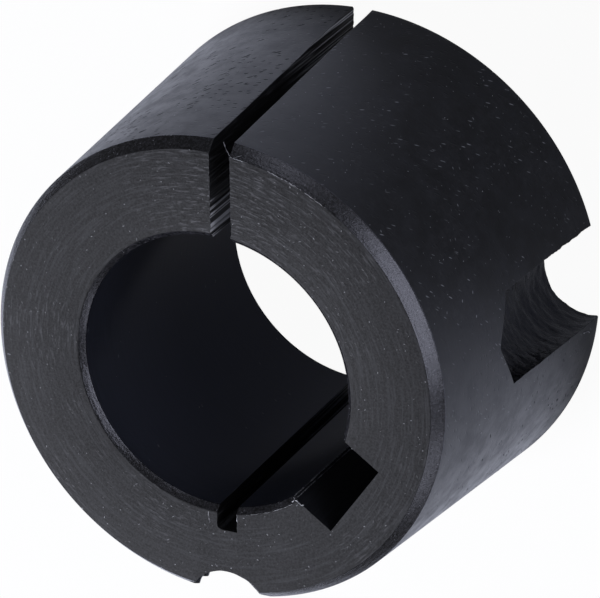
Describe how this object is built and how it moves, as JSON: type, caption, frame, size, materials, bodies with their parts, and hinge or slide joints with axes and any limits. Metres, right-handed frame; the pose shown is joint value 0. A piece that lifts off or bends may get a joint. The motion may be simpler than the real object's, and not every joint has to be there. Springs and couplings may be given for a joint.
{
  "type": "taper bush",
  "caption": "Split taper bush with a keyed bore, blind clamping half-holes and a tapped jacking half-hole, which clamps a hub onto a shaft.",
  "frame": {"origin": "on the bore's axis, in the plane of the large end", "axes": "+Z along the bore towards the small end, +X through the middle of the keyway"},
  "size_m": [0.0352, 0.0352, 0.0222],
  "materials": {
    "body": "blackened machined iron, satin, with turned end faces, a sawn split and small bright nicks"
  },
  "bodies": {
    "root": {"taper_bush": "body"}
  },
  "joints": []
}
